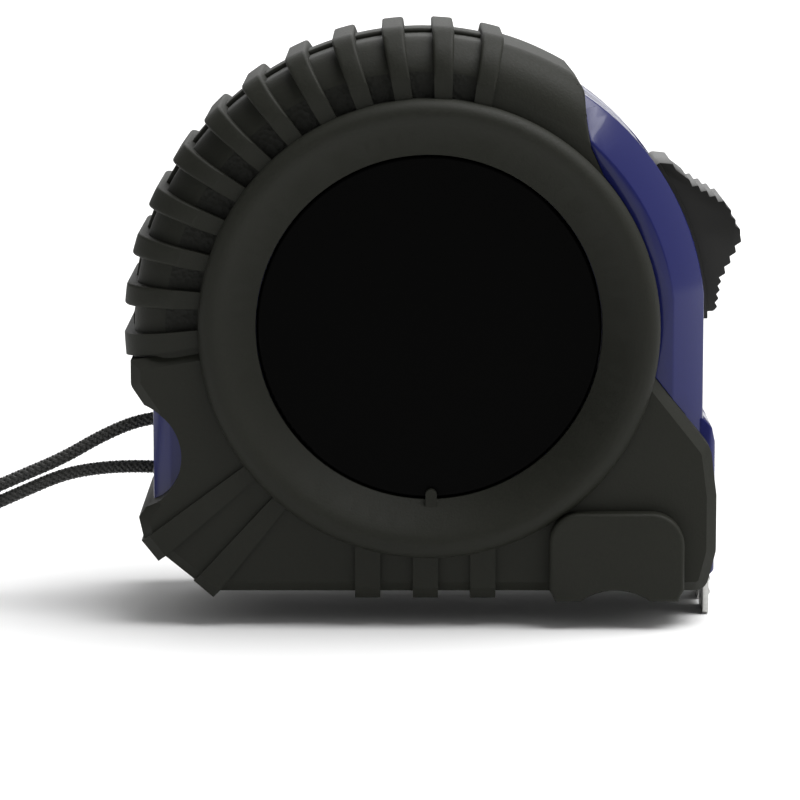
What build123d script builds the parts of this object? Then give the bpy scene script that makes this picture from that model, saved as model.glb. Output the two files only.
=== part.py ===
from build123d import *
import math
import os

# Pocket tape measure: a two-part plastic case in a slip-on rubber jacket, a sprung reel with a
# 16 mm steel blade, an end hook, a thumb lock, a belt clip and a wrist strap.
# Millimetres.  +X is the way the blade comes out, Y lies along the hub axis, +Z is up.
# The origin is on the base plane that the bottom ribs stand on, straight below the hub axis.

# Case
HUB_Z = 31.3            # hub axis above the base plane
CASE_R = 31.9           # outer radius of the case's round top and front
CASE_FRONT = 31.7       # flat front wall
CASE_REAR = -31.9       # flat rear wall
CASE_BOTTOM = 2.6       # underside of the case, inside the jacket
WALL = 1.9              # case wall
CASE_HALF = 12.0        # half width under the rubber
FLARE_HALF = 13.6       # half width of the bare front
BEVEL = 3.7             # bevel round the bare front
CAVITY_HALF = CASE_HALF - WALL
NOSE_X = 33.2           # front of the cheeks beside the mouth
NOSE_HALF = 10.25
NOSE_TOP = 20.4
BAY_HALF = 8.6          # recess between the cheeks, where the hook sits
BAY_TOP = 17.0
MOUTH_LOW = 3.2
MOUTH_TOP = 10.3

# Rubber jacket
CROWN_X = -0.8          # the crown is centred this far behind the hub
CROWN_R = 34.35         # tops of the crown's ribs
RIB_PROUD = 0.7         # the smooth parts of the crown lie this far below its ribs
SHOULDER = 6.0
SIDE_HALF = 15.0
RING_R = 26.4
RING_FACE = 17.0
DISC_R = 19.8           # label discs inside the rings
DISC_THICK = 1.2
JACKET_BOTTOM = 0.8
RIB_FIRST = 76.0        # angle of the frontmost crown rib
RIB_STEP = 9.77
RIB_COUNT = 12
RIB_WIDE = 4.3          # every rib is a wedge this many degrees wide
RIB_LEAN = 1.3          # the ribs lean forwards by this angle between the crown and the ring
POCKET_DEEP = 0.5       # pockets between the ribs, below the smooth crown
POCKET_FLAT = 29.4      # outer radius of the flat side of a pocket
BAND_HALF = 3.0         # smooth band round the middle of the crown
HEEL_RIBS = ((218.7, 41.2), (229.3, 39.9))   # angle and outer radius
FOOT_RIBS = (-7.05, -0.4, 6.2)
FOOT_WIDE = 2.9
WINDOW_R = 6.25         # round cut-out at the rear, where the strap comes out
WINDOW_AT = (-34.65, 16.5)

# Reel and blade
ARBOR_R = 3.0
ARBOR_HALF = 9.5
BORE_GAP = 0.06
REEL_R = 12.6
REEL_WALL = 1.1
REEL_HALF = 8.2
COIL_R = 21.5
BLADE_WIDE = 16.0
BLADE_THICK = 0.15
BLADE_CAMBER = 1.5
BLADE_LOW = 7.0         # underside of the blade at its middle
BLADE_TAIL = -25.0
HOOK_X = 32.05          # back face of the hook's lip
HOOK_THICK = 0.7
HOOK_HALF = 7.8
HOOK_TIP = -3.2         # the lip reaches below the base plane
TONGUE_HALF = 4.25
TONGUE_LONG = 11.0
RIVETS_X = (HOOK_X - 3.0, HOOK_X - 8.2)
RIVET_R = 1.0
PLAY = 0.7              # travel of the hook on its rivets
SLIDE_GAP = 0.15

# Thumb lock, which turns about the hub axis
TRACK_R = 31.0
TRACK_HALF = 8.1
TRACK_ENDS = (-16.0, 41.0)
SLOT_HALF = 2.4
SLOT_ENDS = (-14.0, 38.5)
BUTTON_HALF = 7.75
BUTTON_ENDS = (0.6, 34.8)
SHOE_R = (28.0, 29.2)
SHOE_HALF = 6.0
SHOE_ENDS = (-38.0, 52.0)
NECK_ENDS = (8.0, 26.0)

# Fasteners and strap
SCREW_R = 1.15
SCREW_HEAD_R = 2.3
SCREWS = [(26.4, 62.0), (26.4, 135.0), (26.4, 222.0), (32.9, -33.8)]   # radius, angle
PIN_AT = (-27.0, 15.95)
PIN_R = 2.1
CORD_D = 1.7
STRAND_OFF = PIN_R + CORD_D / 2
FLOOR = HOOK_TIP
CRIMP_LONG = 5.0
CRIMP_TILT = 24.0
CRIMP_AT = (-51.6, 9.4)
# Plan of the wrist band: x, y and half width along it, from the crimp to past its far end
BAND_PLAN = ((-55.0, 0.0, 1.7), (-60.0, 0.1, 2.5), (-67.0, 0.7, 3.1), (-82.0, 3.0, 3.1),
             (-100.0, 4.2, 3.1), (-124.0, 0.6, 3.1), (-150.0, -7.0, 3.1))


def hub_point(radius, degrees):
    """Side-view point at a radius and angle about the hub axis."""
    angle = math.radians(degrees)
    return (radius * math.cos(angle), HUB_Z + radius * math.sin(angle))


def outline(*lines):
    """Closed side-view face from its lines and arcs."""
    return make_face([edge for line in lines for edge in line.edges()])


def slab(face, low, high):
    """Side-view face extruded from y = low to y = high."""
    return extrude(Plane.XZ.offset(-high) * face, amount=high - low)


def block(x, y, z):
    """Box from three (low, high) pairs."""
    sides = [high - low for low, high in (x, y, z)]
    middle = [(high + low) / 2 for low, high in (x, y, z)]
    return Pos(*middle) * Box(*sides)


def post(at, radius, low, high):
    """Round bar along Y at a side-view point."""
    return slab(Pos(*at) * Circle(radius), low, high)


def turned(face, centre_x=0.0, start=0.0, sweep=360.0):
    """Face drawn as (radius, y), turned about the Y axis through the hub's height."""
    axis = Axis((centre_x, 0, HUB_Z), (0, -1, 0))
    return revolve(Pos(centre_x, 0, HUB_Z) * face, axis, sweep).rotate(axis, start)


def sector(r_low, r_high, half, start, end):
    """Arc-shaped bar about the hub axis."""
    profile = Pos((r_low + r_high) / 2, 0) * Rectangle(r_high - r_low, 2 * half)
    return turned(profile, 0.0, start, end - start)


def wedge(r_low, r_high, middle, wide):
    """Side-view face of a radial rib."""
    corners = [hub_point(r_low, middle - wide / 2), hub_point(r_high, middle - wide / 2),
               hub_point(r_high, middle + wide / 2), hub_point(r_low, middle + wide / 2)]
    return outline(Polyline(*corners, close=True))


def both_sides(solid):
    """A piece and its mirror image across the middle plane."""
    return solid + mirror(solid, about=Plane.XZ)


# --- Outlines -----------------------------------------------------------------------------

def case_face():
    top = (CASE_FRONT, HUB_Z + math.sqrt(CASE_R ** 2 - CASE_FRONT ** 2))
    arc = ThreePointArc(top, (0, HUB_Z + CASE_R), (CASE_REAR, HUB_Z))
    rest = Polyline((CASE_REAR, HUB_Z), (CASE_REAR, 9.5), (-24.0, CASE_BOTTOM),
                    (CASE_FRONT, CASE_BOTTOM), top)
    return outline(arc, rest)


def crown_region():
    """Side-view area that the crown of the jacket covers."""
    edge = Polyline((20.4, 47.6), (18.4, 52.0), (17.9, 55.1), (17.7, 58.4), (15.4, 61.3), (15.4, 70.0),
                    (-40.0, 70.0), (-40.0, 27.5), (0.0, 27.5), close=True)
    return outline(edge)


def lower_face():
    """Side view of the jacket below the hub, ribs and pads left out."""
    corners = Polyline((25.9, 25.6), (32.4, 17.4), (33.1, 12.0), (33.1, 5.4), (31.9, JACKET_BOTTOM),
                       (-25.4, JACKET_BOTTOM), (-32.8, 6.8), (-33.4, 9.4), (-32.0, 11.4),
                       (-32.0, 21.4), (-34.2, 24.7), (-34.2, 27.6), (-25.0, 29.2), (20.0, 30.0),
                       close=True)
    face = outline(corners)
    rounded = {(32.4, 17.4): 2.6, (33.1, 5.4): 3.0, (31.9, JACKET_BOTTOM): 1.6,
               (-34.2, 24.7): 1.5}
    for (x, z), radius in rounded.items():
        face = fillet(face.vertices().sort_by_distance((x, z))[0], radius)
    return face


def rubber_face():
    crown = (Pos(CROWN_X, HUB_Z) * Circle(CROWN_R)) & crown_region()
    return crown + (Pos(0, HUB_Z) * Circle(RING_R)) + lower_face()


# --- Case ---------------------------------------------------------------------------------

def nose():
    side = Polyline((28.0, NOSE_TOP), (CASE_FRONT, NOSE_TOP), (32.8, 19.2), (NOSE_X, 17.4),
                    (NOSE_X, 2.4), (32.6, 1.9), (28.0, 1.9), close=True)
    body = slab(outline(side), -NOSE_HALF, NOSE_HALF)
    corners = body.edges().filter_by(Axis.Z).group_by(Axis.X)[-1]
    body = fillet(corners, 0.9)
    return body - block((CASE_FRONT, NOSE_X + 1), (-BAY_HALF, BAY_HALF), (0, BAY_TOP))


def case_block(rubber):
    """The closed case, before it is hollowed: bevelled front, stepped in under the rubber."""
    side = FLARE_HALF - BEVEL
    bevelled = extrude(Plane.XZ.offset(side) * case_face(), amount=BEVEL, taper=45)
    body = slab(case_face(), -side, side) + both_sides(bevelled)
    step = slab(rubber, CASE_HALF, FLARE_HALF + 1)
    return body - both_sides(step) + nose()


def cavity():
    return slab(offset(case_face(), -WALL, kind=Kind.INTERSECTION), -CAVITY_HALF, CAVITY_HALF)


def case_shell(body):
    """Hollow case with its bosses, mouth, lock track and strap holes, not yet split."""
    bosses = [post(hub_point(*at), 2.5, -CAVITY_HALF, CAVITY_HALF) for at in SCREWS]
    seats = both_sides(post((0, HUB_Z), 5.0, ARBOR_HALF, CAVITY_HALF))
    shell = body - cavity() + [solid & body for solid in bosses] + seats
    shell -= block((25.9, 33), (-BAY_HALF, BAY_HALF), (MOUTH_LOW, MOUTH_TOP))
    shell -= sector(TRACK_R, 35, TRACK_HALF, *TRACK_ENDS)
    shell -= sector(SHOE_R[1], 35, SLOT_HALF, *SLOT_ENDS)
    for side in (-1, 1):
        hole = Rot(0, 90, 0) * Cylinder(1.3, 8)
        shell -= Pos(-31, 0, PIN_AT[1] + side * STRAND_OFF) * hole
    shell -= post(PIN_AT, PIN_R, -11.0, 11.0)
    for at in SCREWS:
        centre = hub_point(*at)
        shell -= post(centre, SCREW_R, -8.0, 0)
        shell -= post(centre, SCREW_R + 0.15, 0, CASE_HALF + 2)
        shell -= post(centre, SCREW_HEAD_R + 0.1, CASE_HALF - 1.4, CASE_HALF + 2)
    shell -= post((0, HUB_Z), 1.4, -CASE_HALF, CASE_HALF)
    return shell - post((0, HUB_Z), 2.8, -CASE_HALF, -CASE_HALF + 1.1)


def half_of(solid, side):
    return solid & block((-60, 60), (0, 40) if side > 0 else (-40, 0), (-10, 80))


# --- Jacket -------------------------------------------------------------------------------

def crown_point(radius, degrees):
    """Side-view point about the crown's centre, with the lean of the ribs."""
    lean = RIB_LEAN * (CROWN_R - radius) / (CROWN_R - RING_R)
    angle = math.radians(degrees - lean)
    return (CROWN_X + radius * math.cos(angle), HUB_Z + radius * math.sin(angle))


def crown_wedge(start, end):
    """Slab between two angles of the crown, such as one rib or one gap."""
    corners = [crown_point(22, start), crown_point(38, start), crown_point(38, end), crown_point(22, end)]
    return slab(outline(Polyline(*corners, close=True)), -20, 20)


def crown(lower):
    """Round top of the jacket, this far inside the rib tops and the jacket's side."""
    near = SIDE_HALF - SHOULDER
    bend = SHOULDER - lower
    side, knee = CROWN_R - SHOULDER, bend * math.sqrt(0.5)
    profile = outline(
        Line((18, -near - bend), (side, -near - bend)),
        ThreePointArc((side, -near - bend), (side + knee, -near - knee), (side + bend, -near)),
        Line((side + bend, -near), (side + bend, near)),
        ThreePointArc((side + bend, near), (side + knee, near + knee), (side, near + bend)),
        Polyline((side, near + bend), (18, near + bend), (18, -near - bend)))
    return turned(profile, CROWN_X) & slab(crown_region(), -20, 20)


def pockets():
    """Round hollow for the pockets of one side: a flat side, a rounded shoulder and a floor."""
    floor = CROWN_R - RIB_PROUD - POCKET_DEEP
    near, flat = SIDE_HALF - SHOULDER, SIDE_HALF - RIB_PROUD - POCKET_DEEP
    middle = ((POCKET_FLAT + floor) / 2 + 0.7, (flat + near) / 2 + 0.55)
    profile = outline(
        Line((22, flat), (POCKET_FLAT, flat)),
        ThreePointArc((POCKET_FLAT, flat), middle, (floor, near)),
        Polyline((floor, near), (floor, BAND_HALF), (37, BAND_HALF), (37, 18), (22, 18), (22, flat)))
    return turned(profile, CROWN_X)


def ring():
    """Raised ring round a label disc, with its bevelled inside slope."""
    profile = outline(
        Polyline((RING_R, 15.1), (RING_R, 11.0), (DISC_R, 11.0), (DISC_R, 13.4), (23.4, 16.6),
                 (24.4, RING_FACE), (25.0, RING_FACE)),
        ThreePointArc((25.0, RING_FACE), (26.05, 16.35), (RING_R, 15.1)))
    return turned(profile)


def foot_rib(x):
    rib = block((x - FOOT_WIDE / 2, x + FOOT_WIDE / 2), (-15.6, 15.6), (0, 7))
    return chamfer(rib.edges().filter_by(Axis.X).group_by(Axis.Z)[0], 1.5)


def heel_rib(angle, radius):
    rib = slab(wedge(20, radius, angle, RIB_WIDE), -15.5, 15.5)
    ends = [e for e in rib.edges() if math.hypot(e.center().X, e.center().Z - HUB_Z) > radius - 1
            and abs(e.center().Y) > 15]
    return chamfer(ends, 1.2)


def thumb_pad():
    """Raised rest low on the side, with an arch in its bottom edge."""
    left, right, top, arch = 13.8, 29.3, 10.3, (17.4, 25.4)
    face = outline(
        Polyline((arch[1], 0), (right - 0.7, 0), (right, 1.4), (right, top), (left, top),
                 (left, 1.4), (left + 0.7, 0), (arch[0], 0)),
        ThreePointArc((arch[0], 0), (sum(arch) / 2, 1.3), (arch[1], 0)))
    for x, radius in ((left, 3.4), (right, 3.8)):
        face = fillet(face.vertices().sort_by_distance((x, top))[0], radius)
    pad = slab(face, CASE_HALF, RING_FACE)
    return fillet(pad.faces().sort_by(Axis.Y)[-1].edges(), 0.5)


def ribbed_crown():
    hollow = both_sides(pockets())
    solid, top = crown(RIB_PROUD), crown(0.0)
    for number in range(RIB_COUNT):
        middle = RIB_FIRST + number * RIB_STEP
        solid += top & crown_wedge(middle - RIB_WIDE / 2, middle + RIB_WIDE / 2)
        if number < RIB_COUNT - 1:
            solid -= hollow & crown_wedge(middle + RIB_WIDE / 2, middle + RIB_STEP - RIB_WIDE / 2)
    return solid


def disc_pip():
    """Small round-ended tab of the ring that laps over the lower edge of the label disc."""
    x, top, low, high = 0.25, HUB_Z - 19.3, CASE_HALF + DISC_THICK + 0.05, 14.2
    return post((x, top), 0.65, low, high) + block((x - 0.65, x + 0.65), (low, high), (top - 1.7, top))


def jacket(body):
    lower = slab(lower_face(), -SIDE_HALF, SIDE_HALF)
    rim = [e for e in lower.edges() if abs(abs(e.center().Y) - SIDE_HALF) < 0.01
           and e.center().Z < 30]
    lower = chamfer(rim, 1.2)
    solid = ribbed_crown() + lower + [heel_rib(*at) for at in HEEL_RIBS]
    solid -= both_sides(post((0, HUB_Z), RING_R, 11.0, 20.0))
    solid += both_sides(ring() + thumb_pad()) + [foot_rib(x) for x in FOOT_RIBS]
    solid -= post(WINDOW_AT, WINDOW_R, -20, 20)
    solid -= post((0, HUB_Z), DISC_R + 0.1, -20, 20)
    solid -= block((CASE_FRONT, 40), (-BAY_HALF, BAY_HALF), (-5, 30))
    return solid + both_sides(disc_pip()) - body


# --- Discs, screws, arbor, clip -------------------------------------------------------------

def label_disc(side):
    low, high = sorted((side * CASE_HALF, side * (CASE_HALF + DISC_THICK)))
    disc = post((0, HUB_Z), DISC_R, low, high)
    face = disc.faces().sort_by(Axis.Y)[-1 if side > 0 else 0]
    disc = fillet(face.edges(), 0.4)
    return disc - post((0, HUB_Z), 1.6, 0, 20)


def case_screw(at):
    centre = hub_point(*at)
    head = post(centre, SCREW_HEAD_R, CASE_HALF - 1.4, CASE_HALF)
    drive = slab(Pos(*centre) * (Rectangle(2.4, 0.6) + Rectangle(0.6, 2.4)), CASE_HALF - 0.8, CASE_HALF)
    return head + post(centre, SCREW_R, -8.0, CASE_HALF - 1.4) - drive


def arbor():
    body = post((0, HUB_Z), ARBOR_R, -ARBOR_HALF, ARBOR_HALF)
    slot = block((-0.4, 0.4), (-7.8, 7.8), (HUB_Z, HUB_Z + ARBOR_R))
    holes = both_sides(post((0, HUB_Z), 1.25, 3.5, ARBOR_HALF))
    return body - slot - holes


def cross_slot(low, high):
    return slab(Pos(0, HUB_Z) * (Rectangle(3.2, 0.7) + Rectangle(0.7, 3.2)), low, high)


def arbor_screw():
    shank = post((0, HUB_Z), 1.25, -CASE_HALF + 1.1, -3.5)
    head = post((0, HUB_Z), 2.6, -CASE_HALF, -CASE_HALF + 1.1)
    return shank + head - cross_slot(-CASE_HALF, -CASE_HALF + 0.6)


def belt_clip():
    """Steel strip held by the middle screw, folded over at the top and sprung downwards."""
    base, leaf, fold = 13.7, 18.4, 46.4
    path = [Line((base, 25.3), (base, fold)),
            ThreePointArc((base, fold), ((base + leaf) / 2, fold + (leaf - base) / 2), (leaf, fold)),
            Polyline((leaf, fold), (leaf, 17.0), (17.9, 13.0), (20.0, 8.6))]
    strip = trace([edge for line in path for edge in line.edges()], line_width=1.0)
    clip = extrude(Plane.YZ * strip, amount=6.5, both=True)
    clip &= slab(Pos(0, 31) * RectangleRounded(13, 48, 3.2), 12, 22)
    return clip - post((0, HUB_Z), 1.6, 12, 15)


def belt_clip_screw():
    seat = 14.2
    head = post((0, HUB_Z), 2.9, seat, seat + 1.3)
    head = fillet(head.faces().sort_by(Axis.Y)[-1].edges(), 0.6)
    return head + post((0, HUB_Z), 1.25, 3.5, seat) - cross_slot(seat + 0.5, seat + 2)


def strap_pin():
    return post(PIN_AT, PIN_R, -11.0, 11.0)


def mouth_guide():
    guide = block((26.0, CASE_FRONT - 0.1), (-8.4, 8.4), (MOUTH_LOW, BLADE_LOW - 0.9))
    return chamfer(guide.edges().filter_by(Axis.Y).group_by(Axis.Z)[-1], 0.5)


# --- Reel ---------------------------------------------------------------------------------

def spool():
    wall = post((0, HUB_Z), REEL_R, -REEL_HALF, REEL_HALF)
    wall -= post((0, HUB_Z), REEL_R - REEL_WALL, -REEL_HALF, REEL_HALF)
    flange = post((0, HUB_Z), COIL_R + 0.4, REEL_HALF, REEL_HALF + 0.8)
    return wall + flange - post((0, HUB_Z), ARBOR_R + BORE_GAP, 0, 10)


def spool_cover():
    cover = post((0, HUB_Z), REEL_R + 0.4, -REEL_HALF - 0.6, -REEL_HALF)
    return cover - post((0, HUB_Z), ARBOR_R + BORE_GAP, -10, 0)


def spiral_band(r_low, r_high, turns, thick, half):
    """Flat strip wound in a spiral of half circles."""
    step = (r_high - r_low) / (2 * turns)
    bands = []
    radius, centre = r_low, 0.0
    for number in range(2 * turns):
        side = 1 if number % 2 == 0 else -1
        ring_face = Circle(radius + thick) - Circle(radius)
        cut = Pos(0, side * 40) * Rectangle(160, 80)
        bands.append(Pos(centre, HUB_Z) * (ring_face & cut))
        centre += -side * step
        radius += step
    return slab(Sketch() + bands, -half, half)


def blade_coil():
    return post((0, HUB_Z), COIL_R, -8.0, 8.0) - post((0, HUB_Z), REEL_R, -8.0, 8.0)


# --- Blade and hook ---------------------------------------------------------------------------

CURVE_R = (BLADE_WIDE ** 2 / 4 + BLADE_CAMBER ** 2) / (2 * BLADE_CAMBER)
CURVE_Z = BLADE_LOW + CURVE_R


def trough(r_inner, r_outer, half, x_low, x_high):
    """Strip with the blade's hollow section, between two radii of the curve."""
    face = Circle(r_outer) - Circle(r_inner)
    face &= Pos(0, -30) * Rectangle(2 * half, 60)
    return extrude(Plane.YZ.offset(x_low) * (Pos(0, CURVE_Z) * face), amount=x_high - x_low)


def blade_strip():
    top = CURVE_R - BLADE_THICK
    strip = trough(top, CURVE_R, BLADE_WIDE / 2, BLADE_TAIL, HOOK_X - SLIDE_GAP)
    holes = [Pos(x, 0, BLADE_LOW) * Cylinder(RIVET_R, 10) for x in RIVETS_X]
    return strip - holes


def end_hook():
    outer = CURVE_R - BLADE_THICK - SLIDE_GAP
    inner = outer - 0.6
    tongue = trough(inner, outer, HOOK_HALF, HOOK_X - TONGUE_LONG, HOOK_X)
    neck = 4.0
    plan = outline(Polyline((HOOK_X, -HOOK_HALF), (HOOK_X, HOOK_HALF), (HOOK_X - 1.2, HOOK_HALF)),
                   TangentArc((HOOK_X - 1.2, HOOK_HALF), (HOOK_X - neck, TONGUE_HALF), tangent=(-0.3, -1)),
                   Line((HOOK_X - neck, TONGUE_HALF), (HOOK_X - TONGUE_LONG + TONGUE_HALF, TONGUE_HALF)),
                   ThreePointArc((HOOK_X - TONGUE_LONG + TONGUE_HALF, TONGUE_HALF),
                                 (HOOK_X - TONGUE_LONG, 0),
                                 (HOOK_X - TONGUE_LONG + TONGUE_HALF, -TONGUE_HALF)),
                   Line((HOOK_X - TONGUE_LONG + TONGUE_HALF, -TONGUE_HALF), (HOOK_X - neck, -TONGUE_HALF)),
                   TangentArc((HOOK_X - 1.2, -HOOK_HALF), (HOOK_X - neck, -TONGUE_HALF), tangent=(-0.3, 1)),
                   Line((HOOK_X - 1.2, -HOOK_HALF), (HOOK_X, -HOOK_HALF)))
    tongue &= extrude(plan, amount=30)
    slot = extrude(SlotCenterToCenter(PLAY, 2 * (RIVET_R + BORE_GAP)), 5, both=True)
    tongue -= [Pos(x - PLAY / 2, 0, BLADE_LOW) * slot for x in RIVETS_X]
    lip = trough(inner, inner + 40, HOOK_HALF, HOOK_X, HOOK_X + HOOK_THICK)
    lip &= block((HOOK_X, HOOK_X + 2), (-HOOK_HALF, HOOK_HALF), (HOOK_TIP, 20))
    lip = fillet(lip.edges().filter_by(Axis.X).group_by(Axis.Z)[0], 0.6)
    lip -= block((HOOK_X, HOOK_X + 2), (-1.4, 1.4), (HOOK_TIP - 1, HOOK_TIP + 1.3))
    ribs = [Pos(HOOK_X + HOOK_THICK, 0, z) * (Rot(90, 0, 0) * Cylinder(0.35, 11)) for z in (-1.0, 0.6, 2.2)]
    return tongue + lip + ribs


def hook_rivets():
    top = BLADE_LOW + BLADE_THICK + SLIDE_GAP + 0.6
    heads = []
    for x in RIVETS_X:
        shank = Pos(x, 0, BLADE_LOW - 0.3) * extrude(Circle(RIVET_R), top + 0.6 - BLADE_LOW + 0.3)
        head = Pos(x, 0, top + 0.15) * extrude(Circle(1.7), 0.45)
        head = fillet(head.faces().sort_by(Axis.Z)[-1].edges(), 0.3)
        tail = Pos(x, 0, BLADE_LOW - 0.5) * extrude(Circle(1.5), 0.5)
        well = Pos(x, 0, top + 0.3) * extrude(Circle(0.6), 1)
        heads.append(shank + head + tail - well)
    return heads


# --- Lock ---------------------------------------------------------------------------------

def toothed(start, end, count, deep):
    """Points of a saw-toothed edge from start to end, teeth standing out to the right."""
    run = (end[0] - start[0], end[1] - start[1])
    long = math.hypot(*run)
    out = (-run[1] / long * deep, run[0] / long * deep)
    points = []
    for number in range(count):
        root = number / count
        tip = (number + 0.55) / count
        points.append((start[0] + root * run[0], start[1] + root * run[1]))
        points.append((start[0] + tip * run[0] + out[0], start[1] + tip * run[1] + out[1]))
    return points


def lock_button():
    """Thumb slide: a curved base plate and a toothed wedge, with a neck through the slot."""
    low = TRACK_R + SLIDE_GAP
    plate = sector(low, 32.3, BUTTON_HALF, *BUTTON_ENDS)
    teeth = (toothed((33.0, 32.5), (33.6, 36.4), 4, -0.35) + toothed((33.6, 36.4), (36.0, 41.3), 4, -0.45)
             + toothed((36.0, 41.3), (34.4, 44.6), 3, -0.3) + toothed((34.4, 44.6), (29.4, 47.6), 5, -0.45))
    side = Polyline(hub_point(31.5, 2.0), *teeth, (28.5, 48.9), (28.1, 49.6), (26.6, 49.75),
                    hub_point(31.5, 34.4), close=True)
    wedge_body = slab(outline(side), -BUTTON_HALF + 0.25, BUTTON_HALF - 0.25)
    wedge_body -= sector(10, low + 0.5, BUTTON_HALF, -10, 50)
    neck = sector(SHOE_R[1], low + 0.2, SLOT_HALF - 0.3, *NECK_ENDS)
    return plate + wedge_body + neck


def lock_shoe():
    return sector(*SHOE_R, SHOE_HALF, *SHOE_ENDS)


# --- Wrist strap ----------------------------------------------------------------------------

def crimp_place():
    """Places a shape at the crimp's front face, turned down towards the floor."""
    return Pos(CRIMP_AT[0], 0, CRIMP_AT[1]) * Rot(0, -CRIMP_TILT, 0)


def crimp_point(along, up):
    """Side-view point in the crimp's own directions."""
    a = math.radians(CRIMP_TILT)
    return (CRIMP_AT[0] + along * math.cos(a) - up * math.sin(a),
            CRIMP_AT[1] + along * math.sin(a) + up * math.cos(a))


def cord_route():
    """Side-view points of the strap cord, from the crimp round the pin and back."""
    x, z = PIN_AT
    across = STRAND_OFF * math.tan(math.radians(22.5))
    upper = [crimp_point(0, 0.9), crimp_point(3.6, 0.9), (-43.2, 14.0), (-38.6, 16.7), (-34.2, 18.6),
             (-29.8, 19.05)]
    turn = [(x + across, z + STRAND_OFF), (x + STRAND_OFF, z + across),
            (x + STRAND_OFF, z - across), (x + across, z - STRAND_OFF)]
    lower = [(-29.8, 12.85), (-34.2, 13.1), (-38.8, 12.9), (-43.2, 12.1), crimp_point(3.6, -0.9),
             crimp_point(0, -0.9)]
    return upper + turn + lower


def cord_radii(points):
    """Arc radius at each inner point: 0.45 of the shorter run over the tangent of half the turn."""
    radii = []
    for before, here, after in zip(points, points[1:], points[2:]):
        a, b = Vector(*here) - Vector(*before), Vector(*after) - Vector(*here)
        half_turn = math.radians(a.get_angle(b) / 2)
        radii.append(0.45 * min(a.length, b.length) / math.tan(half_turn))
    return radii


def strap_cord():
    points = cord_route()
    radii = cord_radii(points)
    path = Plane.XZ * FilletPolyline(*points, radius=radii)
    start = Plane(path @ 0, z_dir=path % 0)
    tube = sweep(start * Circle(CORD_D / 2), path=path)
    section = math.pi * CORD_D ** 2 / 4 * path.length
    print("cord: length", round(path.length, 2), "volume ratio", round(tube.volume / section, 4))
    print("cord radii:", [round(radius, 2) for radius in radii])
    return tube


def strap_crimp():
    sleeve = Box(CRIMP_LONG, 3.0, 4.2, align=(Align.MAX, Align.CENTER, Align.CENTER))
    sleeve = fillet(sleeve.edges().filter_by(Axis.X), 1.0)
    return crimp_place() * sleeve


def wrist_band():
    """Doubled webbing, laid flat along the floor, as one closed solid of its outer shape."""
    low = FLOOR
    high_start, low_start = crimp_point(-CRIMP_LONG, 1.5), crimp_point(-CRIMP_LONG, -1.5)
    side = outline(
        Line(low_start, high_start),
        Spline(high_start, (-63.0, 5.1), (-70.0, 1.7), (-79.0, low + 3.2), (-92.0, low + 3.0)),
        Polyline((-92.0, low + 3.0), (-112.0, low + 3.0), (-144.0, low + 4.6)),
        ThreePointArc((-144.0, low + 4.6), (-146.3, low + 2.3), (-144.0, low)),
        Line((-144.0, low), (-84.0, low)),
        Spline((-84.0, low), (-76.0, low + 0.6), (-68.0, low + 2.8), low_start))
    edges = [Spline(*[(x, y + sign * half) for x, y, half in BAND_PLAN]) for sign in (-1, 1)]
    ends = [Line(edges[0] @ place, edges[1] @ place) for place in (0, 1)]
    return slab(side, -20, 20) & extrude(outline(*edges, *ends), 30, both=True)


# --- Build ----------------------------------------------------------------------------------

def save(name, solid):
    """Write one sub-part; several loose solids go in one file as a group."""
    solids = [s for piece in (solid if isinstance(solid, list) else [solid]) for s in piece.solids()]
    shape = solids[0] if len(solids) == 1 else Compound(children=solids)
    export_step(shape, f"parts/{name}.step")
    print(name, len(solids), round(sum(s.volume for s in solids), 1))


os.makedirs("parts", exist_ok=True)
closed_case = case_block(rubber_face())
shell = case_shell(closed_case)
save("case_shell_left", half_of(shell, -1))
save("case_shell_right", half_of(shell, 1))
save("rubber_jacket", jacket(closed_case))
save("label_disc_left", label_disc(-1))
save("label_disc_right", label_disc(1))
save("case_screws", [case_screw(at) for at in SCREWS])
save("arbor", arbor())
save("arbor_screw", arbor_screw())
save("belt_clip", belt_clip())
save("belt_clip_screw", belt_clip_screw())
save("strap_pin", strap_pin())
save("mouth_guide", mouth_guide())
save("spool", spool())
save("spool_cover", spool_cover())
save("return_spring", spiral_band(3.6, 11.0, 9, 0.25, 7.5))
save("blade_coil", blade_coil())
save("blade_strip", blade_strip())
save("hook_rivets", hook_rivets())
save("end_hook", end_hook())
save("lock_button", lock_button())
save("lock_shoe", lock_shoe())
save("strap_cord", strap_cord())
save("strap_crimp", strap_crimp())
save("wrist_band", wrist_band())
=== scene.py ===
import bpy
import bmesh
import math
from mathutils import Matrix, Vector


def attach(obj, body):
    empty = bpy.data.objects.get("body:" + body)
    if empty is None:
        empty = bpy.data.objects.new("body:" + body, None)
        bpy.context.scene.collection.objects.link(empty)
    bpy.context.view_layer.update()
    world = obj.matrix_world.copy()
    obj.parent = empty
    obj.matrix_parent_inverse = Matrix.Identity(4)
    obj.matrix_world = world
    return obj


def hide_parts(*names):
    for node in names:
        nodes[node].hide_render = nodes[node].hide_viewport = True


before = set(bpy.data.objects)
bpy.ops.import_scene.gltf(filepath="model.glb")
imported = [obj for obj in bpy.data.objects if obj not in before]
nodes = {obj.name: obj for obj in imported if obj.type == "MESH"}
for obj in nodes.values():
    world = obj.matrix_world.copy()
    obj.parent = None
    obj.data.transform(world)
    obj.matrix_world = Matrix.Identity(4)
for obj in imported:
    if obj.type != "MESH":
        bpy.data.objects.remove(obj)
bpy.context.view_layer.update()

# --- Camera -------------------------------------------------------------------------------
# The side of the tape measure seen square on, from a little above, with a long lens.
camera_data = bpy.data.cameras.new("side_camera")
camera_data.sensor_width = 36
camera_data.lens = 190.7
camera = bpy.data.objects.new("side_camera", camera_data)
bpy.context.scene.collection.objects.link(camera)
camera_rise = math.radians(8.5)
camera_away = 0.5
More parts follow.
